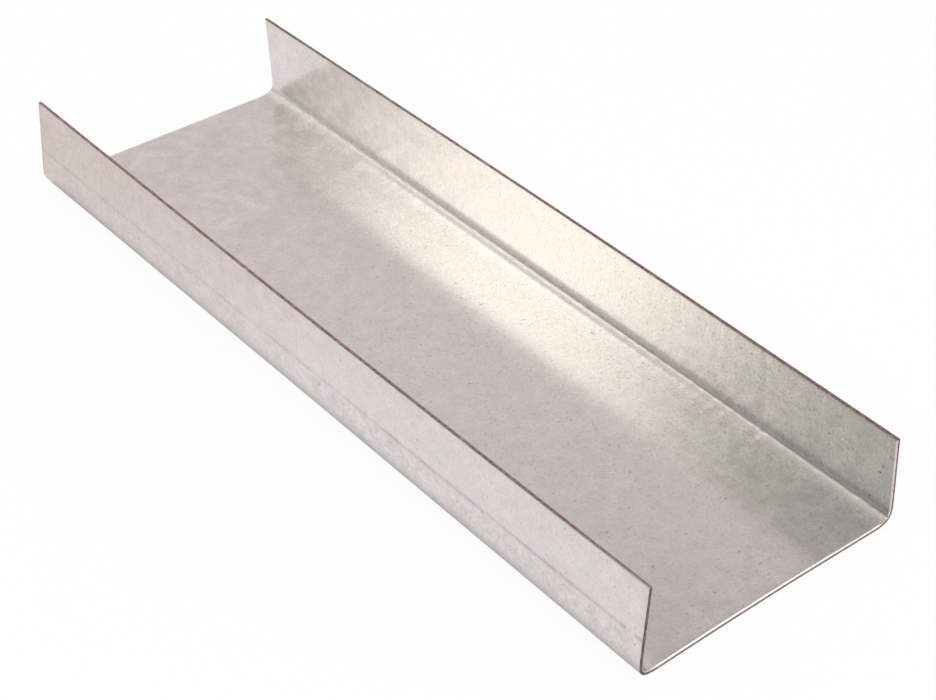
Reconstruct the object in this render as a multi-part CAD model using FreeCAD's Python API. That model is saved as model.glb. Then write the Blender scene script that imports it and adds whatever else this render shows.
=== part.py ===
import FreeCAD, Part

import math
import os

from FreeCAD import Vector

# A short cut length of drywall track: one strip of galvanised sheet, roll-formed into a channel.
# The origin is the centre of the web's underside, X runs along the track and the legs stand up along Z.

# Driving dimensions, in mm and degrees
length = 300.0            # between the two sheared ends
width = 96.7              # over the outsides of the bends
leg_height = 31.75        # from the floor to the lips of the legs
sheet = 1.15              # thickness of the galvanised sheet
bend_radius = 3.2         # inside radius of the two bends
toe_in_at_ends = 3.7      # lean of each leg towards the middle at the cut ends
toe_in_at_middle = 2.3    # the same at mid-length, where the legs bow outwards a little
shear_roll = 0.4          # rollover that the shear leaves along the inner edges of a cut end

# Worked out from the driving dimensions
half_length = length / 2
outer_radius = bend_radius + sheet
bend_y = width / 2 - outer_radius
bend_z = outer_radius
web_angle = -math.pi / 2
foot_angle = math.radians(toe_in_at_ends)


def on_the_bend(x, radius, angle):
    # A point of the bend on the +Y side, turned up from the web by the angle.
    return Vector(x, bend_y + radius * math.cos(angle), bend_z + radius * math.sin(angle))


def bend_arc(radius):
    # One side of the sheet round the bend, from the web to the foot of the leg.
    middle_angle = (web_angle + foot_angle) / 2
    angles = (web_angle, middle_angle, foot_angle)
    return Part.Arc(*(on_the_bend(-half_length, radius, angle) for angle in angles)).toShape()


def across_the_sheet(angle):
    # The line through the sheet's thickness at one end of the bend.
    inner = on_the_bend(-half_length, bend_radius, angle)
    outer = on_the_bend(-half_length, outer_radius, angle)
    return Part.makeLine(inner, outer)


def bend():
    # The bend rolled along one side of the web.
    outline = Part.Wire([
        bend_arc(bend_radius),
        across_the_sheet(foot_angle),
        bend_arc(outer_radius),
        across_the_sheet(web_angle),
    ])
    return Part.Face(outline).extrude(Vector(length, 0, 0))


def leg_section(x, toe_in):
    # The leg cut square across the track at x: it stands on the foot of the bend and leans in.
    inner_foot = on_the_bend(x, bend_radius, foot_angle)
    outer_foot = on_the_bend(x, outer_radius, foot_angle)
    lean = math.radians(toe_in)
    rise = (leg_height - outer_foot.z) / math.cos(lean)
    up_the_leg = Vector(0, -math.sin(lean), math.cos(lean)) * rise
    corners = [inner_foot, outer_foot, outer_foot + up_the_leg, inner_foot + up_the_leg]
    return Part.makePolygon(corners + corners[:1])


def leg():
    # The lip bows out at mid-length, so the leg runs through three sections.
    sections = [
        leg_section(-half_length, toe_in_at_ends),
        leg_section(0, toe_in_at_middle),
        leg_section(half_length, toe_in_at_ends),
    ]
    return Part.makeLoft(sections, True, False)


def on_the_other_side(solid):
    return solid.mirror(Vector(0, 0, 0), Vector(0, 1, 0))


def faces_the_channel(face):
    # True for the inner sides of the sheet, which look towards the middle of the hollow.
    low_u, high_u, low_v, high_v = face.ParameterRange
    u = (low_u + high_u) / 2
    v = (low_v + high_v) / 2
    to_the_middle = Vector(0, 0, leg_height / 2) - face.valueAt(u, v)
    return face.normalAt(u, v).dot(to_the_middle) > 0


def at_a_cut_end(edge):
    return abs(abs(edge.CenterOfMass.x) - half_length) < Part.Precision.confusion()


def track():
    web = Part.makeBox(length, 2 * bend_y, sheet, Vector(-half_length, -bend_y, 0))
    sides = [bend(), leg()]
    formed = web.fuse(sides + [on_the_other_side(side) for side in sides]).removeSplitter()
    inner_faces = [face for face in formed.Faces if faces_the_channel(face)]
    sheared_edges = [edge for face in inner_faces for edge in face.Edges if at_a_cut_end(edge)]
    return formed.Solids[0].makeFillet(shear_roll, sheared_edges)


os.makedirs("parts", exist_ok=True)
piece = track()
piece.exportStep("parts/track.step")
print("valid", piece.isValid(), "solids", len(piece.Solids), "volume mm3", round(piece.Volume, 1))
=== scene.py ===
import math
from functools import partial

import bpy
import numpy as np
from mathutils import Matrix, Vector, noise


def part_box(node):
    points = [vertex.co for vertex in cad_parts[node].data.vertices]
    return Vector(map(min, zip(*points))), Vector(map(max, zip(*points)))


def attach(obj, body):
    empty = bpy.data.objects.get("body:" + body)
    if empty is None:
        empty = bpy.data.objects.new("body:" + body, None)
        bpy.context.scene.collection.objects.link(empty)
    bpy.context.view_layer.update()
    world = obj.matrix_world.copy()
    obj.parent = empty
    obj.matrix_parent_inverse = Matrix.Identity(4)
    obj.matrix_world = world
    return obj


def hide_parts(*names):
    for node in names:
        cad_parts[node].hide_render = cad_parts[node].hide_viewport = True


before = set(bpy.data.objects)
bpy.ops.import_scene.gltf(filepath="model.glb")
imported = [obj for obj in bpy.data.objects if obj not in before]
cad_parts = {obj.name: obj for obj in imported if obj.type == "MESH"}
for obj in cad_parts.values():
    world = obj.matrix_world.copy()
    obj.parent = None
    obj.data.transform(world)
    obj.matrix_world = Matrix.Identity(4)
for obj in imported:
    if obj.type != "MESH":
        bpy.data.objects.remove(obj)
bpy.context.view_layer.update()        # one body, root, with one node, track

mm = 0.001
trackLow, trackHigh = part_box("track")
print("frame loaded")


def linear(hexCode):
    # sRGB hex to the linear colour that shaders take
    parts = [int(hexCode[k:k + 2], 16) / 255 for k in (1, 3, 5)]
    return tuple(c / 12.92 if c <= 0.04045 else ((c + 0.055) / 1.055) ** 2.4 for c in parts) + (1.0,)


def addNode(tree, kind, links=None, **settings):
    # links: socket name or number to a plain value, an output, or a node that gives its first output
    node = tree.nodes.new(kind)
    for name, value in settings.items():
        setattr(node, name, value)
    for name, source in (links or {}).items():
        named = [socket for socket in node.inputs if socket.enabled and socket.name == name]
        socket = named[0] if named else node.inputs[name]
        if isinstance(source, bpy.types.Node):
            source = [output for output in source.outputs if output.enabled][0]
        if isinstance(source, bpy.types.NodeSocket):
            tree.links.new(source, socket)
        else:
            socket.default_value = source
    return node


def newMaterial(name):
    material = bpy.data.materials.new(name)
    material.use_nodes = True
    material.node_tree.nodes.clear()
    return material


def ramp(values, start, end):
    # 0 at the start, 1 at the end, and level beyond them
    return np.clip((values - start) / (end - start), 0, 1)


# The rolled sheet, in mm and degrees. A span is the start and the end of a change along the track,
# from mid-length, with the near end at plus
sheet = {
    "length": (trackHigh.x - trackLow.x) / mm,
    "width": (trackHigh.y - trackLow.y) / mm,
    "legHeight": trackHigh.z / mm,
    "thickness": 1.15,
    # the bend starts gently on the web, snaps round a wandering crease and runs out up the leg:
    # how far each turning spreads, and its share
    "webSpread": 2.6,
    "webShare": 0.39,
    "snapSpread": 0.26,
    "snapShare": 0.21,
    "snapFront": 0.7,              # the front bend turns less sharply
    "snapWander": 0.42,
    "wanderSizes": (3.0, 1.3),     # of long and short wandering
    "wanderShort": 0.8,            # strength of the short one
    "wanderSpan": (40, 100),       # more ragged towards the near end, and lower
    "wanderDrop": 0.3,
    "legRun": 1.45,
    "bendStart": -6.5,
    "bendEnd": 7.0,
    "bendStep": 0.02,
    "toeInMiddle": 2.3,            # lean of the legs at mid-length
    "toeInFar": (3.8, 3.2),        # and at the cut ends, of the front and the back leg
    "toeInNear": (3.9, 4.4),
    "toeInBow": 4.0,               # the higher, the straighter the two halves of a leg
    "puckerHeight": 0.045,         # puckered zinc along the inside of the bend
    "puckerSize": 3.4,
    "puckerReach": 1.2,
    "puckerFine": (0.6, 0.45),     # finer puckers on top: shares of the height and the size
    "endReach": 0.25,              # the near cut is hollow across the web
    "endHollow": 0.5,
    "rollDepth": 0.38,             # rollover of the sheared ends, down into the sheet
    "rollRun": 0.8,                # and along it
    "rollFront": (0.3, 0.2),       # shares of the two on the front leg
    "rollChange": (2, 5),          # heights on the front bend between which they change
    "lipRound": 0.1,               # broken corners of the slit lips
    "frontRise": 0.15,             # the front leg stands a little higher
    "frontSlope": 0.3,             # and its near end is cut slightly back at the lip
    "edgeRough": 0.025,            # torn steel on the slit and sheared edges
    "lipTear": (1.1, 4),           # size of the tears, and mm of their pattern through the sheet
    "endTear": (0.9, 3),
    "cutRough": 0.05,              # uneven line of the shear
    "cutSize": 14.0,
    "lineHeight": 14.05,           # soft line left by the forming rolls on the outside of the legs
    "lineWidth": 0.6,
    "lineDepth": 0.02,
    "waveHeight": 0.1,             # the sheet isn't quite flat after rolling
    "waveSize": 55.0,
    "waveStretch": 1.6,
    "sharpAngle": 34,

    # rows, stations and layers of the mesh
    "layers": (0, 0.1, 0.37, 0.63, 0.9, 1.0),
    "alongStep": 0.8,
    "endGaps": (0, 0.04, 0.12, 0.24, 0.4, 0.62, 0.95),
    "webRows": 13,
    "webMargin": 9.5,
    "bendRows": 31,
    "bendCrowd": (0.25, -3.9, 4.0),    # scale and range of the sinh that crowds rows at the crease
    "legStart": 11.3,
    "lineGaps": (-1.4, -0.8, -0.4, 0, 0.4, 0.8, 1.4),
    "legRows": (3.6, 2.5, 5),          # from above the line to below the lip, and how many
    "lipGaps": (0.85, 0.3, 0),

    # where the finish changes
    "creaseWidth": (0.5, 0.9),     # pale crease of worked zinc, and how much wider it gets
    "creaseSpan": (30, 120),
    "creaseShadeAbove": 0.6,            # its fade above the sharpest turn, where its darker tint is painted shade
    "bentReach": (1.2, 2.6),       # duller zinc below and above the crease
    "bentFront": (2.5, 4.0),       # added in the front bend beside the ends: strength and reach
    "bentRun": 3.0,
    "lineSpan": (-130, 70),        # the roll line is fainter towards the far end
    "lineLeast": 0.5,
    "lineGap": (143.5, 147),       # and nearly broken beside the near one
    "lineGapShare": 0.1,
    "rubBelow": 2.5,               # rubbed zinc, strongest from this far below the line
    "rubFoot": (3, 7),             # and fading out between these heights
    "rubSpan": (-5, 10),
    "rubLeast": 0.6,
    "rubEnd": (148, 142),
    "rubPause": (0.7, 68, 6),      # a cleaner patch: strength, place and reach
    "rubFar": 0.4,
    "rubFarSpan": (20, -40),
    "lipWear": 0.35,               # zinc worn thin beside the lips
    "backWear": 3,                 # added on the back leg
    "backWearSpan": (0, 60),
    "nearWear": (0.8, 1.2),        # and beside the sheared ends: strength and reach
    "farWear": (1.4, 0.9),
    "speckSpan": (10, 90),         # more specks towards the near end: shares of the cells with one
    "speckLeast": 0.12,
    "speckBack": 0.62,
    "speckOutside": 0.05,
    "speckWeb": 0.15,
    "speckWebSpan": (-100, 0),
    "speckWebLeast": 0.1,
    "dragSpan": (60, 145),         # zinc dragged over the front lip from its outer corner, and a painted highlight along that corner
    "dragShare": 0.6,
    "dragEdge": 3,
    "lipShade": 0.35,              # darker steel on the back lip
    "lipShadeSpan": (-20, 40),
    "webEndShade": 0.35,           # and at the sheared ends, most on the front leg
    "endShadeRise": 1.5,
    "smudgeSpan": (-30, -90),      # pale smudges towards the far end
}


def acrossTheSheet():
    # rows from the front lip, down the leg, across the web and up to the back lip, each with its place:
    # outer height on a leg, distance past the sharpest turn of a bend, y on the web
    line = sheet["lineHeight"]
    top = sheet["legHeight"]
    aboveLine, belowLip, plainRows = sheet["legRows"]
    legRows = [sheet["legStart"]] + [line + gap for gap in sheet["lineGaps"]]
    legRows += list(np.linspace(line + aboveLine, top - belowLip, plainRows))
    legRows += [top - gap for gap in sheet["lipGaps"]]
    crowd, first, last = sheet["bendCrowd"]
    bendRows = list(crowd * np.sinh(np.linspace(first, last, sheet["bendRows"])))
    webEdge = sheet["width"] / 2 - sheet["webMargin"]
    rows = [("leg", -1, height + sheet["frontRise"] * height / top) for height in reversed(legRows)]
    rows += [("bend", -1, gap) for gap in reversed(bendRows)]
    rows += [("web", 0, y) for y in np.linspace(-webEdge, webEdge, sheet["webRows"])]
    rows += [("bend", 1, gap) for gap in bendRows]
    rows += [("leg", 1, height) for height in legRows]
    return rows


def alongTheSheet():
    # stations from the far end to the near end, close together where the shear rolled the edge
    half = sheet["length"] / 2
    gaps = sheet["endGaps"]
    steps = int(sheet["length"] / sheet["alongStep"])
    middle = np.linspace(gaps[-1] - half, half - gaps[-1], steps)
    farEnd = [gap - half for gap in gaps[:-1]]
    nearEnd = [half - gap for gap in gaps[-2::-1]]
    return np.array(farEnd + list(middle) + nearEnd)


def noiseGrid(xs, path, size, layer, stretch=1.0):
    # smooth noise over the flattened sheet, with lumps of the given size in mm
    return np.array([
        [noise.noise(Vector((x / size / stretch, s / size, layer))) for x in xs]
        for s in path
    ])


def toeIn(xs, hand):
    # the legs close in towards the cut ends, where the rolled-in stress is let go
    bow = sheet["toeInBow"]
    place = 2 * xs / sheet["length"]
    share = (np.sqrt(1 + (bow * place) ** 2) - 1) / (math.sqrt(1 + bow ** 2) - 1)
    leg = 0 if hand < 0 else 1
    ends = np.where(xs < 0, sheet["toeInFar"][leg], sheet["toeInNear"][leg])
    return np.radians(sheet["toeInMiddle"] + (ends - sheet["toeInMiddle"]) * share)


def bendPath(xs, lean, hand):
    # the inner side round the bend at every station: distance past the crease, y, z and tilt
    gap = np.arange(sheet["bendStart"], sheet["bendEnd"], sheet["bendStep"])
    longSize, shortSize = sheet["wanderSizes"]
    wander = noiseGrid(xs, [0.0], longSize, layer=6.0 + hand)
    wander = wander + sheet["wanderShort"] * noiseGrid(xs, [0.0], shortSize, layer=6.5 + hand)
    nearer = ramp(xs, *sheet["wanderSpan"])
    wander = wander * (1 + nearer) - sheet["wanderDrop"] * nearer
    fromSnap = gap - sheet["snapWander"] * wander.T
    snapSpread = sheet["snapFront"] if hand < 0 else sheet["snapSpread"]
    legShare = 1 - sheet["webShare"] - sheet["snapShare"]
    turning = 0
    for share, curve in (
        (sheet["webShare"], np.exp(-(gap / sheet["webSpread"]) ** 2 / 2) * (gap < 0)),
        (sheet["snapShare"], np.exp(-(fromSnap / snapSpread) ** 2 / 2)),
        (legShare, np.exp(-np.maximum(gap, 0) / sheet["legRun"]) * (gap >= 0)),
    ):
        turning = turning + share * curve / curve.sum(axis=-1, keepdims=True)
    tilt = (math.pi / 2 + lean)[:, None] * np.cumsum(turning, axis=1)
    y = np.cumsum(np.cos(tilt), axis=1) * sheet["bendStep"]
    z = np.cumsum(np.sin(tilt), axis=1) * sheet["bendStep"] + sheet["thickness"]
    widest = (y + sheet["thickness"] * np.sin(tilt)).max(axis=1, keepdims=True)
    return gap, y + sheet["width"] / 2 - widest, z, tilt


def sheetSides(rows, xs):
    # the inner side of the sheet at every row and station, as (y, z), and its direction inwards
    lean = {hand: toeIn(xs, hand) for hand in (-1, 1)}
    bends = {hand: bendPath(xs, lean[hand], hand) for hand in (-1, 1)}
    inner = np.zeros((len(rows), len(xs), 2))
    inward = np.zeros((len(rows), len(xs), 2))
    for i, (zone, hand, value) in enumerate(rows):
        if zone == "web":
            inner[i] = value, sheet["thickness"]
            inward[i] = 0, 1
            continue
        gap, y, z, tilt = bends[hand]
        k = np.searchsorted(gap, value) if zone == "bend" else -1
        inner[i, :, 0] = y[:, k]
        inner[i, :, 1] = z[:, k]
        if zone == "leg":
            rise = value - sheet["thickness"] * np.sin(lean[hand]) - z[:, k]
            inner[i, :, 0] -= np.tan(lean[hand]) * rise
            inner[i, :, 1] += rise
        inner[i, :, 0] *= hand
        inward[i, :, 0] = -hand * np.sin(tilt[:, k])
        inward[i, :, 1] = np.cos(tilt[:, k])
    return inner, inward


def finishMarks(across, xs, path, through):
    # where the finish changes, for the materials to read: rows across, stations along, layers through
    names = (
        "creaseWorkAndShade", "bent", "rollLine", "rubbed", "cutEdge", "specked", "handled", "sheared", "draggedZincAndHighlight",
    )
    marks = {name: np.zeros((len(path), len(xs), len(through))) for name in names}
    bendGap, height, atFront = across["bendGap"], across["height"], across["atFront"]
    onBack = across["onBack"][:, None]
    fromFar, fromNear = xs - xs[0], xs[-1] - xs

    width, widens = sheet["creaseWidth"]
    width = width + widens * ramp(xs, *sheet["creaseSpan"])
    # crease: worked zinc along the turn, and painted shade where it reaches above the turn
    marks["creaseWorkAndShade"][:, :, 0] = np.exp(-((bendGap[:, None] + width / 2) / width) ** 2)
    marks["creaseWorkAndShade"][:, :, 0] *= np.exp(-(np.maximum(bendGap, 0) / sheet["creaseShadeAbove"]) ** 2)[:, None]
    bentReach = np.where(bendGap < 0, *sheet["bentReach"])
    marks["bent"][:, :, 0] = np.exp(-(bendGap / bentReach) ** 2)[:, None]
    strength, reach = sheet["bentFront"]
    frontBend = strength * (np.exp(-(bendGap / reach) ** 2) * atFront)[:, None]
    marks["bent"][:, :, 0] += frontBend * np.exp(-np.minimum(fromFar, fromNear) / sheet["bentRun"])

    gapStart, gapEnd = sheet["lineGap"]
    lineShare = np.maximum(ramp(xs, *sheet["lineSpan"]), sheet["lineLeast"])
    lineShare *= np.where((xs > gapStart) & (xs < gapEnd), sheet["lineGapShare"], 1.0)
    marks["rollLine"][:, :, -1] = across["line"][:, None] * lineShare
    underLine = ramp(height, sheet["lineHeight"], sheet["lineHeight"] - sheet["rubBelow"])
    underLine *= ramp(height, *sheet["rubFoot"])
    strength, middle, reach = sheet["rubPause"]
    rubs = np.maximum(ramp(xs, *sheet["rubSpan"]), sheet["rubLeast"]) * ramp(xs, *sheet["rubEnd"])
    rubs *= 1 - strength * np.exp(-((xs - middle) / reach) ** 2)
    farRub = sheet["rubFar"] * ramp(xs, *sheet["rubFarSpan"])
    marks["rubbed"][:, :, -1] = np.maximum(underLine[:, None] * rubs, farRub) * across["onLeg"][:, None]

    lipWear = np.exp(-np.minimum(path, path[-1] - path) / sheet["lipWear"])[:, None]
    backWear = sheet["backWear"] * onBack * ramp(xs, *sheet["backWearSpan"])
    marks["cutEdge"][:, :, 0] = lipWear * (1 + backWear)
    endWear = 0
    for gap, (strength, reach) in ((fromNear, sheet["nearWear"]), (fromFar, sheet["farWear"])):
        endWear = np.maximum(endWear, strength * np.exp(-gap / reach))
    marks["cutEdge"][:, :, -1] = np.maximum(lipWear, endWear)
    nearer = np.maximum(ramp(xs, *sheet["speckSpan"]), sheet["speckLeast"])
    onWeb = sheet["speckWeb"] * np.maximum(ramp(xs, *sheet["speckWebSpan"]), sheet["speckWebLeast"])
    marks["specked"][:, :, 0] = np.where(onBack, sheet["speckBack"] * nearer, onWeb)
    marks["specked"][:, :, -1] = sheet["speckOutside"] * nearer
    marks["handled"][:, :, 0] = ramp(xs, *sheet["smudgeSpan"])

    # front lip's outer corner paler towards the near end: dragged zinc, and a painted highlight
    draggedZincAndHighlight = sheet["dragShare"] * ramp(xs, *sheet["dragSpan"])[:, None] ** 3
    marks["draggedZincAndHighlight"][0] = np.clip(sheet["dragEdge"] * (through - 1 + draggedZincAndHighlight), 0, 1)
    marks["sheared"][-1] = sheet["lipShade"] * ramp(xs, *sheet["lipShadeSpan"])[:, None]
    frontEnd = (1 - sheet["webEndShade"]) * ramp(height, 0, sheet["endShadeRise"]) * atFront
    marks["sheared"][:, [0, -1]] = (sheet["webEndShade"] + frontEnd)[:, None, None]
    return marks


def quads(grid, flip):
    a, b, c, d = grid[:-1, :-1], grid[1:, :-1], grid[1:, 1:], grid[:-1, 1:]
    order = (a, d, c, b) if flip else (a, b, c, d)
    return np.stack(order, axis=-1).reshape(-1, 4)


def buildTrack():
    rows = acrossTheSheet()
    xs = alongTheSheet()
    through = np.array(sheet["layers"])
    inner, inward = sheetSides(rows, xs)
    path = np.r_[0, np.cumsum(np.linalg.norm(np.diff(inner[:, 0], axis=0), axis=1))]

    # gentle waves, always up from the floor
    waves = noiseGrid(xs, path, sheet["waveSize"], layer=3.1, stretch=sheet["waveStretch"])
    inner = inner + inward * ((waves * 0.5 + 0.5) * sheet["waveHeight"])[..., None]
    outer = inner - inward * sheet["thickness"]

    # what each row is: distance past the crease, height outside, and where it lies
    farAway = 1000.0
    across = {
        "bendGap": np.array([value if zone == "bend" else farAway for zone, hand, value in rows]),
        "height": outer[:, len(xs) // 2, 1],
        "onLeg": np.array([zone != "web" for zone, hand, value in rows]),
        "onBack": np.array([hand > 0 for zone, hand, value in rows]),
        "atFront": inner[:, 0, 0] < 0,
    }
    fromLine = (across["height"] - sheet["lineHeight"]) / sheet["lineWidth"]
    across["line"] = np.exp(-fromLine ** 2) * across["onLeg"]

    # inner side: the zinc puckers along the bend
    fineHeight, fineSize = sheet["puckerFine"]
    pucker = noiseGrid(xs, path, sheet["puckerSize"], layer=7.7)
    pucker += fineHeight * noiseGrid(xs, path, sheet["puckerSize"] * fineSize, layer=9.2)
    nearBend = np.exp(-(across["bendGap"] / sheet["puckerReach"]) ** 2)
    pucker *= nearBend[:, None] * sheet["puckerHeight"]
    inner = inner + inward * pucker[..., None]

    # outer side: the line of the forming rolls
    outer = outer + inward * (across["line"] * sheet["lineDepth"])[:, None, None]

    # near a cut end the inner side rolls over towards the outer one
    fromEnd = np.minimum(xs - xs[0], xs[-1] - xs)
    onFront = ramp(across["height"], *sheet["rollChange"]) * across["atFront"]
    depthShare, runShare = [(1 - (1 - share) * onFront)[:, None] for share in sheet["rollFront"]]
    reach = np.clip(1 - fromEnd / (sheet["rollRun"] * runShare), 0, 1)
    dip = depthShare * sheet["rollDepth"] / sheet["thickness"] * (1 - np.sqrt(1 - reach ** 2))

    # a block of points: rows across, stations along, layers through the sheet
    place = np.zeros((len(rows), len(xs), len(through), 3))
    for k, share in enumerate(through):
        depth = dip + (1 - dip) * share
        place[:, :, k, 0] = xs
        place[:, :, k, 1:] = inner + (outer - inner) * depth[..., None]

    # slit lips: broken corners and a torn face
    tearSize, tearRun = sheet["lipTear"]
    lipTear = noiseGrid(xs, through * tearRun, tearSize, layer=5.5) * sheet["edgeRough"]
    lipTear -= sheet["edgeRough"]
    lipTear[[0, -1]] -= sheet["lipRound"]
    for row, hand in ((0, -1), (-1, 1)):
        lean = toeIn(xs, hand)
        place[row, :, :, 1] -= hand * (np.sin(lean) * lipTear).T
        place[row, :, :, 2] += (np.cos(lean) * lipTear).T

    # sheared ends: a torn face, an uneven line of cut, and the near cut hollow across the web
    tearSize, tearRun = sheet["endTear"]
    endTear = noiseGrid(through * tearRun, path, tearSize, layer=2.2) * sheet["edgeRough"]
    endTear[:, [0, -1]] = 0
    place[:, -1, :, 0] += endTear
    place[:, 0, :, 0] -= endTear
    cutLine = noiseGrid(np.zeros(1), path, sheet["cutSize"], layer=4.4) * sheet["cutRough"]
    fromMiddle = np.clip(2 * inner[:, :1, 0] / sheet["width"], -1, 1)
    nearCut = sheet["endReach"] - sheet["endHollow"] * np.cos(fromMiddle * math.pi / 2)
    upTheLeg = ramp(across["height"], 0, sheet["legHeight"])
    nearCut -= (sheet["frontSlope"] * across["atFront"] * upTheLeg)[:, None]
    nearShare = (xs / sheet["length"] + 0.5)[None, :]
    farCut = cutLine - sheet["cutRough"]
    place[..., 0] += ((cutLine + nearCut) * nearShare - farCut * (1 - nearShare))[..., None]

    # the outside of the block is the piece
    shell = np.ones(place.shape[:3], bool)
    shell[1:-1, 1:-1, 1:-1] = False
    number = np.full(shell.shape, -1)
    number[shell] = np.arange(shell.sum())
    zinc = [quads(number[:, :, 0], True), quads(number[:, :, -1], False)]
    bare = [quads(number[0], True), quads(number[-1], False)]
    bare += [quads(number[:, 0], False), quads(number[:, -1], True)]
    faces = np.concatenate(zinc + bare)
    slots = np.ones(len(faces), np.int32)
    slots[:sum(len(group) for group in zinc)] = 0

    mesh = bpy.data.meshes.new("trackSheet")
    mesh.from_pydata((place[shell] * mm).tolist(), [], faces.tolist())
    mesh.update()
    mesh.polygons.foreach_set("material_index", slots)
    mesh.polygons.foreach_set("use_smooth", np.ones(len(faces), bool))
    mesh.set_sharp_from_angle(angle=math.radians(sheet["sharpAngle"]))
    for name, values in finishMarks(across, xs, path, through).items():
        attribute = mesh.attributes.new(name, "FLOAT", "POINT")
        attribute.data.foreach_set("value", values[shell].astype(np.float32))

    # the sheet laid flat, its outer side beside its inner one
    flat = np.zeros(place.shape)
    flat[..., 0] = xs[None, :, None]
    flat[..., 1] = path[:, None, None] + 2 * path[-1] * (through > 0.5)
    attribute = mesh.attributes.new("flatSheet", "FLOAT_VECTOR", "POINT")
    attribute.data.foreach_set("vector", flat[shell].astype(np.float32).ravel())

    piece = bpy.data.objects.new("galvanised_track", mesh)
    bpy.context.scene.collection.objects.link(piece)
    print("track sheet:", len(mesh.vertices), "points,", len(faces), "faces")
    return piece, path[-1]


# Hot-dip galvanised sheet, skin-passed: a soft mirror of zinc with faint clouds, fine grain and dark pits
zincFinish = {
    "pink": "#ded7d5",
    "green": "#d5d7d1",
    "pit": "#7a6557",
    "line": "#a5a2a0",
    "creaseFar": "#c3bdbb",
    "creaseNear": "#cbc4ba",
    "creaseSpan": (-110.0, 130.0),     # mm along the track, from the far tint to the near one
    "worn": "#a8988f",
    # noise in space and on the flat sheet: size in mm, detail, roughness and distortion
    "inSpace": {
        "clouds": (6.0, 5.0, 0.75, 0.0),
        "mottle": (5.0, 3.0, 0.5, 0.0),
        "grain": (0.9, 2.0, 0.5, 0.0),     # finer in the real sheet, drawn as coarse as the render shows
        "rub": (2.8, 3.0, 0.5, 1.2),
        "smudge": (10.0, 2.0, 0.5, 0.8),
        "wrinkle": (1.0, 1.0, 0.5, 0.0),
    },
    "onTheFlat": {
        "gathering": (15.0, 2.0, 0.5, 0.0),
        "ruffle": (0.8, 1.0, 0.5, 0.0),
        "break": (7.0, 3.0, 0.5, 0.0),
    },
    # what is read from a noise: its low and high, and the values they give
    "readings": {
        "tint": ("clouds", 0.3, 0.7, 0.0, 1.0),
        "mottleLift": ("mottle", 0.3, 0.7, 0.95, 1.05),
        "grainLift": ("grain", 0.25, 0.75, 0.93, 1.07),
        "rubLift": ("rub", 0.3, 0.7, 0.08, -0.14),
        "smudgeLift": ("smudge", 0.55, 0.68, 0.0, 0.07),
        "gathered": ("gathering", 0.38, 0.64, 0.25, 1.9),
        "lineBreak": ("break", 0.4, 0.6, 0.3, 0.75),
        "edgeBreak": ("rub", 0.35, 0.65, 0.1, 0.4),
        "roughness": ("mottle", 0.3, 0.7, 0.18, 0.22),
    },
    # pits and specks: spacing and radius in mm, and darkness
    "pits": [(3.6, 0.5, 0.34), (0.95, 0.3, 0.36)],
    "pitLeast": 0.5,                   # the smallest, as a share of the radius
    "pitCore": 0.4,                    # share of a pit that is evenly dark
    "pitRagged": 0.7,                  # mm
    "pitStretch": (1.0, 0.6, 1.0),     # drawn out up the legs
    # single deeper pits on the inside of the back leg, beside the near end: x, height, radius
    "deepPits": [
        (125.7, 17.8, 0.5), (126.0, 13.7, 0.4), (146.0, 19.1, 0.45), (145.3, 16.4, 0.55),
        (148.4, 24.3, 0.35), (140.2, 6.1, 0.4), (142.5, 5.4, 0.45),
    ],
    "deepDarkness": 0.9,
    "rubRough": 0.03,                  # added to the roughness
    "bentRough": 0.13,
    "pitRough": 0.1,
    "mottleHeight": 0.008,             # relief in mm
    "grainHeight": 0.0016,
    "wrinkleHeight": 0.03,
    "pitHeight": -0.003,
}


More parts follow.
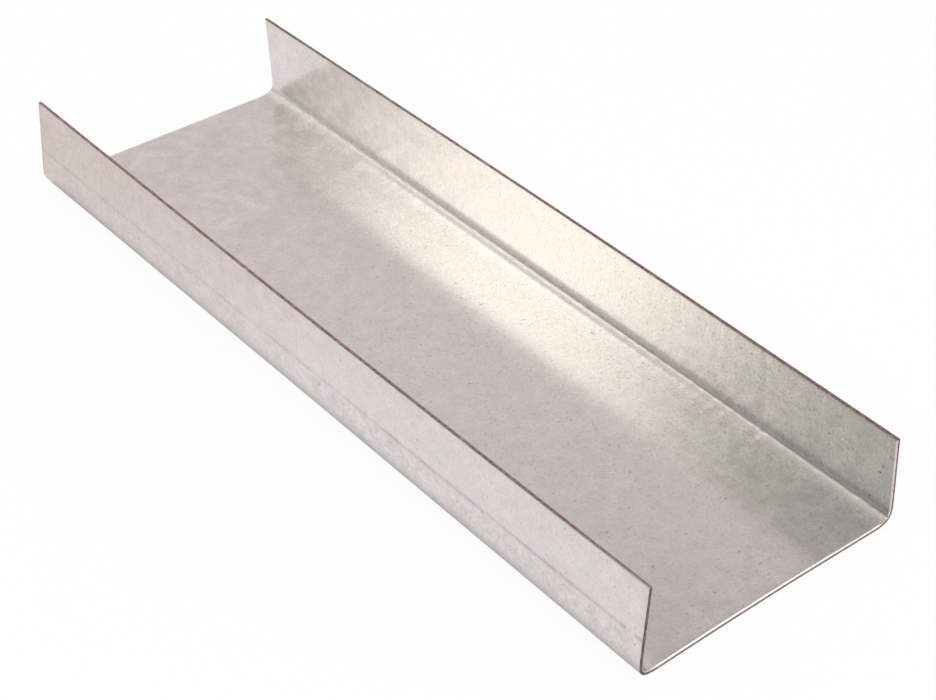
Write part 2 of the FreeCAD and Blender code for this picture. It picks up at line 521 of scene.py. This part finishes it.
def galvanisedSteel(sheetRun):
    material = newMaterial("hotDipGalvanisedSteel")
    add = partial(addNode, material.node_tree)
    spot = add("ShaderNodeTexCoord").outputs["Object"]
    inMm = add("ShaderNodeVectorMath", {0: spot, "Scale": 1 / mm}, operation="SCALE")
    flat = add("ShaderNodeAttribute", attribute_name="flatSheet").outputs["Vector"]
    marks = {}
    for name in ("creaseWorkAndShade", "bent", "rollLine", "rubbed", "cutEdge", "specked", "handled"):
        marks[name] = add("ShaderNodeAttribute", attribute_name=name).outputs["Fac"]
    noises = {}
    for spread, group in ((inMm, "inSpace"), (flat, "onTheFlat")):
        for name, (size, detail, roughness, distortion) in zincFinish[group].items():
            noises[name] = add("ShaderNodeTexNoise", {
                "Vector": spread, "Scale": 1 / size, "Detail": detail,
                "Roughness": roughness, "Distortion": distortion,
            })
    readings = {}
    for name, (source, low, high, atLow, atHigh) in zincFinish["readings"].items():
        readings[name] = add("ShaderNodeMapRange", {
            "Value": noises[source], "From Min": low, "From Max": high,
            "To Min": atLow, "To Max": atHigh,
        })

    # faint clouds of pinkish and greenish grey, with lighter and darker mottle and grain,
    # stronger blotches where the rolls rubbed the legs, and paler smudges towards the far end
    zinc = add("ShaderNodeMix", {
        "Factor": readings["tint"], "A": linear(zincFinish["pink"]), "B": linear(zincFinish["green"]),
    }, data_type="RGBA")
    lift = add("ShaderNodeMath", {
        0: readings["mottleLift"], 1: readings["grainLift"],
    }, operation="MULTIPLY")
    for mark, reading in (("rubbed", "rubLift"), ("handled", "smudgeLift")):
        lift = add("ShaderNodeMath", {
            0: marks[mark], 1: readings[reading], 2: lift,
        }, operation="MULTIPLY_ADD")
    colour = add("ShaderNodeVectorMath", {0: zinc, "Scale": lift}, operation="SCALE")

    # pits and fine specks: some cells of the flat sheet hold a ragged dot, and they gather in places
    ragged = zincFinish["pitRagged"]
    crowd = add("ShaderNodeMath", {0: marks["specked"], 1: readings["gathered"]}, operation="MULTIPLY")
    ruffled = add("ShaderNodeVectorMath", {
        0: noises["ruffle"].outputs["Color"], 1: (ragged, ragged, 0.0), 2: flat,
    }, operation="MULTIPLY_ADD")
    drawnOut = add("ShaderNodeVectorMath", {
        0: ruffled, 1: zincFinish["pitStretch"],
    }, operation="MULTIPLY")
    dots = []
    for spacing, radius, darkness in zincFinish["pits"]:
        cells = add("ShaderNodeTexVoronoi", {
            "Vector": drawnOut, "Scale": 1 / spacing,
        }, voronoi_dimensions="2D")
        gap = add("ShaderNodeMath", {0: cells, 1: spacing}, operation="MULTIPLY")
        chance = add("ShaderNodeSeparateColor", {0: cells.outputs["Color"]})
        size = add("ShaderNodeMapRange", {
            "Value": chance.outputs["Green"], "To Min": radius * zincFinish["pitLeast"], "To Max": radius,
        })
        core = add("ShaderNodeMath", {0: size, 1: zincFinish["pitCore"]}, operation="MULTIPLY")
        dot = add("ShaderNodeMapRange", {
            "Value": gap, "From Min": core, "From Max": size, "To Min": darkness, "To Max": 0.0,
        })
        held = add("ShaderNodeMath", {0: chance.outputs["Red"], 1: crowd}, operation="LESS_THAN")
        dots.append(add("ShaderNodeMath", {0: dot, 1: held}, operation="MULTIPLY"))
    for x, height, radius in zincFinish["deepPits"]:
        middle = (x + ragged / 2, sheetRun - (sheet["legHeight"] - height) + ragged / 2, 0.0)
        offset = add("ShaderNodeVectorMath", {0: ruffled, 1: middle}, operation="DISTANCE")
        dots.append(add("ShaderNodeMapRange", {
            "Value": offset.outputs["Value"], "From Min": radius * zincFinish["pitCore"],
            "From Max": radius, "To Min": zincFinish["deepDarkness"], "To Max": 0.0,
        }))
    pit = dots[0]
    for dot in dots[1:]:
        pit = add("ShaderNodeMath", {0: pit, 1: dot}, operation="MAXIMUM")

    # over the zinc: pits, the soft broken line of the forming rolls, zinc worked yellowish in the bends
    # with painted shade just above their sharpest turn, and zinc worn thin beside the cut edges
    broken = {}
    for mark, reading in (("rollLine", "lineBreak"), ("cutEdge", "edgeBreak")):
        broken[mark] = add("ShaderNodeMath", {0: marks[mark], 1: readings[reading]}, operation="MULTIPLY")
    creaseStart, creaseEnd = zincFinish["creaseSpan"]
    towardsNear = add("ShaderNodeMapRange", {
        "Value": add("ShaderNodeSeparateXYZ", {0: inMm}).outputs["X"],
        "From Min": creaseStart, "From Max": creaseEnd,
    })
    # crease tint: worked zinc, and painted shade where it reaches above the sharpest turn
    creaseZincAndShade = add("ShaderNodeMix", {
        "Factor": towardsNear,
        "A": linear(zincFinish["creaseFar"]), "B": linear(zincFinish["creaseNear"]),
    }, data_type="RGBA")
    for share, tone in (
        (pit, linear(zincFinish["pit"])),
        (broken["rollLine"], linear(zincFinish["line"])),
        (marks["creaseWorkAndShade"], creaseZincAndShade),
        (broken["cutEdge"], linear(zincFinish["worn"])),
    ):
        colour = add("ShaderNodeMix", {"Factor": share, "A": colour, "B": tone}, data_type="RGBA")

    # duller where it is rubbed, bent or pitted, and wrinkled across the bends
    wrinkled = add("ShaderNodeMath", {0: noises["wrinkle"], 1: marks["creaseWorkAndShade"]}, operation="MULTIPLY")
    roughness = readings["roughness"]
    for source, name in (
        (marks["rubbed"], "rubRough"), (marks["bent"], "bentRough"), (pit, "pitRough"),
    ):
        roughness = add("ShaderNodeMath", {
            0: source, 1: zincFinish[name], 2: roughness,
        }, operation="MULTIPLY_ADD")
    height = 0.0
    for source, name in (
        (noises["mottle"], "mottleHeight"), (noises["grain"], "grainHeight"),
        (wrinkled, "wrinkleHeight"), (pit, "pitHeight"),
    ):
        height = add("ShaderNodeMath", {
            0: source, 1: zincFinish[name], 2: height,
        }, operation="MULTIPLY_ADD")
    bump = add("ShaderNodeBump", {"Height": height, "Distance": mm, "Strength": 1.0})
    surface = add("ShaderNodeBsdfPrincipled", {
        "Base Color": colour, "Metallic": 1.0, "Roughness": roughness, "Normal": bump,
    })
    add("ShaderNodeOutputMaterial", {"Surface": surface})
    return material


# Bare steel torn by the slitter and the shear: brown with a first bloom of rust, dull, smeared with zinc
bareFinish = {
    "brown": "#a38a83",
    "dark": "#75605a",
    "smear": "#bdada6",
    "endShade": 0.62,              # the sheared ends are darker than the slit lips
    "metal": 0.8,                  # the rest is rust
    "roughness": (0.45, 0.65),
    "tearSize": 0.8,               # mm
    "tearSpan": (0.35, 0.65),      # noise from dark to brown
    "tearHeight": 0.05,            # mm
    "smearSize": 3.0,              # mm
    "smearSpan": (0.5, 0.75),      # noise from bare steel to the thickest smear
    "smearMost": 0.6,
}


def shearedSteel():
    material = newMaterial("shearedBareSteel")
    add = partial(addNode, material.node_tree)
    spot = add("ShaderNodeTexCoord").outputs["Object"]
    inMm = add("ShaderNodeVectorMath", {0: spot, "Scale": 1 / mm}, operation="SCALE")
    tear = add("ShaderNodeTexNoise", {
        "Vector": inMm, "Scale": 1 / bareFinish["tearSize"], "Detail": 3.0,
    })
    smear = add("ShaderNodeTexNoise", {
        "Vector": inMm, "Scale": 1 / bareFinish["smearSize"], "Detail": 2.0,
    })
    low, high = bareFinish["tearSpan"]
    tearShare = add("ShaderNodeMapRange", {"Value": tear, "From Min": low, "From Max": high})
    brown = add("ShaderNodeMix", {
        "Factor": tearShare, "A": linear(bareFinish["dark"]), "B": linear(bareFinish["brown"]),
    }, data_type="RGBA")
    low, high = bareFinish["smearSpan"]
    smearShare = add("ShaderNodeMapRange", {
        "Value": smear, "From Min": low, "From Max": high, "To Max": bareFinish["smearMost"],
    })
    # paler outer corner of the front lip: zinc dragged over it, and a painted highlight along the corner
    draggedZincAndHighlight = add("ShaderNodeAttribute", attribute_name="draggedZincAndHighlight").outputs["Fac"]
    smeared = add("ShaderNodeMath", {0: smearShare, 1: draggedZincAndHighlight}, operation="MAXIMUM")
    colour = add("ShaderNodeMix", {
        "Factor": smeared, "A": brown, "B": linear(bareFinish["smear"]),
    }, data_type="RGBA")
    sheared = add("ShaderNodeAttribute", attribute_name="sheared").outputs["Fac"]
    shade = add("ShaderNodeMapRange", {
        "Value": sheared, "To Min": 1.0, "To Max": bareFinish["endShade"],
    })
    shaded = add("ShaderNodeVectorMath", {0: colour, "Scale": shade}, operation="SCALE")
    least, most = bareFinish["roughness"]
    rough = add("ShaderNodeMapRange", {"Value": tear, "To Min": least, "To Max": most})
    height = add("ShaderNodeMath", {0: tear, 1: bareFinish["tearHeight"]}, operation="MULTIPLY")
    bump = add("ShaderNodeBump", {"Height": height, "Distance": mm, "Strength": 1.0})
    surface = add("ShaderNodeBsdfPrincipled", {
        "Base Color": shaded, "Metallic": bareFinish["metal"], "Roughness": rough, "Normal": bump,
    })
    add("ShaderNodeOutputMaterial", {"Surface": surface})
    return material


track, sheetRun = buildTrack()
track.data.materials.append(galvanisedSteel(sheetRun))
track.data.materials.append(shearedSteel())
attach(track, "root")
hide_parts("track")
print("track finished")


# White table, pale studio round it and soft boxes, in m
studio = {
    "white": "#ffffff",
    "floorSize": 6.0,
    "floorDrop": 0.0002,
    "floorColour": "#f6f6f6",
    "glowSeen": 0.93,                  # share of the floor that shows as plain white
    "glowMirrored": 1.0,               # its level in reflections, less where the track stands close
    "glowNear": "#fff9fb",
    "glowFarShaded": "#f3e7e7",
    "glowSlant": (1.0, 2.0, 0.0),      # way over the floor from the darker far glow to the near one: painted shade on the table
    "glowSpan": (-0.28, -0.13),
    "shadeReach": 0.009,               # shade beside the track
    "shadeSpan": (0.2, 0.9),           # openness, from the darkest to the clear floor
    "shadeLeast": 0.3,
    "shadeSamples": 8,
    # the room by the direction it is seen in: axis, start, end and kind of each change
    "ramps": {
        "edgeRise": ("Z", 0.24, 0.40, "LINEAR"),
        "middleRise": ("Z", 0.53, 0.585, "LINEAR"),
        "backRise": ("Z", 0.645, 0.745, "LINEAR"),
        "farEdge": ("X", -0.70, -0.60, "LINEAR"),
        "overhead": ("Y", -0.40, -0.28, "LINEAR"),
        "frontRise": ("Z", 0.62, 0.85, "LINEAR"),
        "sideRise": ("X", -0.475, -0.44, "LINEAR"),
        "footRise": ("Z", 0.38, 0.58, "LINEAR"),
        "nearer": ("X", -0.586, -0.491, "LINEAR"),
        "toBack": ("Y", 0.1, 0.35, "SMOOTHSTEP"),
    },
    "backEdgeLevel": 1.4,              # a lit backdrop low down, brighter than white
    "tones": {
        "backEdge": "#f8f7fc",
        "backLow": "#e5dbdd",
        "backMiddle": "#eee5e6",
        "backHigh": "#c3bcbd",
        "frontEdge": "#d8d5d7",
        "frontFar": "#fdf8f3",
        "frontNear": "#eeefee",
        "frontNearLow": "#b4b8b9",
        "frontSide": "#e4e7e7",
        "frontFoot": "#808b94",
    },
    # each blend: its name, its change, and the tones or blends before and after it
    "blends": [
        ("low", "edgeRise", "backEdge", "backLow"),
        ("middle", "middleRise", "low", "backMiddle"),
        ("back", "backRise", "middle", "backHigh"),
        ("far", "farShare", "frontEdge", "frontFar"),
        ("near", "frontRise", "frontNearLow", "frontNear"),
        ("beside", "sideRise", "near", "frontSide"),
        ("nearest", "footRise", "frontFoot", "beside"),
        ("front", "nearer", "far", "nearest"),
        ("room", "toBack", "front", "back"),
    ],
    # name, direction from the track, way up, distance, width, height, level, colour
    # the skirt stands behind the glow box, adds to it and softens its edges
    "boxes": [
        ("glowBox", (-0.622, -0.453, 0.640), (0.05, 0.816, 0.578), 1.6, 0.345, 0.724, 0.92, "#fff9f6"),
        ("glowSkirt", (-0.622, -0.453, 0.640), (0.05, 0.816, 0.578), 1.65, 0.41, 0.92, 0.84, "#fff9f6"),
        ("glowFoot", (-0.605, -0.697, 0.393), (0.05, 0.492, 0.870), 1.7, 0.35, 0.508, 0.47, "#f8f8ff"),
        ("edgeBox", (0.36, 0.51, 0.78), (0, 1, 0), 1.6, 1.40, 0.40, 1.35, "#ffffff"),
        ("cameraBox", (0.52, -0.60, 0.62), (0, 0, 1), 1.6, 0.70, 0.70, 3.0, "#ffffff"),
    ],
}


def whiteFloor():
    half = studio["floorSize"] / 2
    drop = -studio["floorDrop"]
    mesh = bpy.data.meshes.new("floor")
    corners = [(-half, -half, drop), (half, -half, drop), (half, half, drop), (-half, half, drop)]
    mesh.from_pydata(corners, [], [(0, 1, 2, 3)])
    floor = bpy.data.objects.new("floor", mesh)
    bpy.context.scene.collection.objects.link(floor)

    # painted white: even and bright to the camera; in the track's reflections a glow with painted shade,
    # darker and pinker towards the far front
    material = newMaterial("whiteTable")
    add = partial(addNode, material.node_tree)
    path = add("ShaderNodeLightPath")
    seen, mirrored = path.outputs["Is Camera Ray"], path.outputs["Is Glossy Ray"]
    spot = add("ShaderNodeTexCoord").outputs["Object"]
    slant = add("ShaderNodeVectorMath", {0: spot, 1: studio["glowSlant"]}, operation="DOT_PRODUCT")
    start, end = studio["glowSpan"]
    nearness = add("ShaderNodeMapRange", {
        "Value": slant.outputs["Value"], "From Min": start, "From Max": end,
    })
    # painted shade: the glow darkens and turns pinker towards the far front of the table
    shadedGlow = add("ShaderNodeMix", {
        "Factor": nearness, "A": linear(studio["glowFarShaded"]), "B": linear(studio["glowNear"]),
    }, data_type="RGBA")
    glowColour = add("ShaderNodeMix", {
        "Factor": seen, "A": shadedGlow, "B": linear(studio["white"]),
    }, data_type="RGBA")
    shade = add("ShaderNodeAmbientOcclusion", {
        "Distance": studio["shadeReach"],
    }, samples=studio["shadeSamples"])
    dark, clear = studio["shadeSpan"]
    lit = add("ShaderNodeMapRange", {
        "Value": shade.outputs["AO"], "From Min": dark, "From Max": clear,
        "To Min": studio["shadeLeast"] * studio["glowMirrored"], "To Max": studio["glowMirrored"],
    })
    level = add("ShaderNodeMix", {"Factor": seen, "A": lit, "B": 1.0})
    share = add("ShaderNodeMath", {0: seen, 1: studio["glowSeen"], 2: mirrored}, operation="MULTIPLY_ADD")
    paint = add("ShaderNodeBsdfDiffuse", {"Color": linear(studio["floorColour"])})
    glow = add("ShaderNodeEmission", {"Color": glowColour, "Strength": level})
    mixed = add("ShaderNodeMixShader", {0: share, 1: paint, 2: glow})
    add("ShaderNodeOutputMaterial", {"Surface": mixed})
    mesh.materials.append(material)


def paleWorld():
    # warm grey behind the track, lighter low down and dimmer overhead, and paler grey in front
    world = bpy.data.worlds.new("studioRoom")
    bpy.context.scene.world = world
    world.use_nodes = True
    world.node_tree.nodes.clear()
    add = partial(addNode, world.node_tree)
    way = add("ShaderNodeTexCoord").outputs["Generated"]
    parts = add("ShaderNodeSeparateXYZ", {0: way})
    ramps = {}
    for name, (axis, start, end, kind) in studio["ramps"].items():
        ramps[name] = add("ShaderNodeMapRange", {
            "Value": parts.outputs[axis], "From Min": start, "From Max": end,
        }, interpolation_type=kind)
    ramps["farShare"] = add("ShaderNodeMath", {
        0: ramps["farEdge"], 1: ramps["overhead"],
    }, operation="MAXIMUM")
    tones = {name: linear(code) for name, code in studio["tones"].items()}
    tones["backEdge"] = add("ShaderNodeVectorMath", {
        0: tones["backEdge"][:3], "Scale": studio["backEdgeLevel"],
    }, operation="SCALE")
    for name, change, before, after in studio["blends"]:
        tones[name] = add("ShaderNodeMix", {
            "Factor": ramps[change], "A": tones[before], "B": tones[after],
        }, data_type="RGBA")
    shown = add("ShaderNodeMix", {
        "Factor": add("ShaderNodeLightPath").outputs["Is Camera Ray"],
        "A": tones["room"], "B": linear(studio["white"]),
    }, data_type="RGBA")
    light = add("ShaderNodeBackground", {"Color": shown, "Strength": 1.0})
    add("ShaderNodeOutputWorld", {"Surface": light})


def softBoxes():
    for name, way, wayUp, distance, width, height, level, colour in studio["boxes"]:
        lamp = bpy.data.lights.new(name, "AREA")
        lamp.shape = "RECTANGLE"
        lamp.size = width
        lamp.size_y = height
        lamp.energy = level * math.pi * width * height
        lamp.color = linear(colour)[:3]
        box = bpy.data.objects.new(name, lamp)
        bpy.context.scene.collection.objects.link(box)
        toBox = Vector(way).normalized()
        across = Vector(wayUp).cross(toBox).normalized()
        turn = Matrix((across, toBox.cross(across), toBox)).transposed()
        box.matrix_world = Matrix.Translation(toBox * distance) @ turn.to_4x4()


whiteFloor()
paleWorld()
softBoxes()
print("studio lit")


# The camera of the photograph, in mm and degrees
view = {
    "aim": (14.34, 5.84, 0.0),
    "distance": 655.07,
    "azimuth": 50.574,
    "elevation": 37.776,
    "roll": 0.285,
    "lens": 81.13,
    "sensor": 36.0,
    "clipStart": 10.0,
}


def addCamera():
    data = bpy.data.cameras.new("camera")
    data.lens = view["lens"]
    data.sensor_width = view["sensor"]
    data.clip_start = view["clipStart"] * mm
    camera = bpy.data.objects.new("camera", data)
    bpy.context.scene.collection.objects.link(camera)
    turn = Matrix.Rotation(math.radians(view["azimuth"]), 4, "Z")
    tilt = Matrix.Rotation(math.radians(90 - view["elevation"]), 4, "X")
    roll = Matrix.Rotation(math.radians(view["roll"]), 4, "Z")
    back = Matrix.Translation((0, 0, view["distance"] * mm))
    camera.matrix_world = Matrix.Translation(Vector(view["aim"]) * mm) @ turn @ tilt @ back @ roll
    bpy.context.scene.camera = camera


addCamera()
bpy.context.scene.view_settings.view_transform = "Standard"
print("camera set")
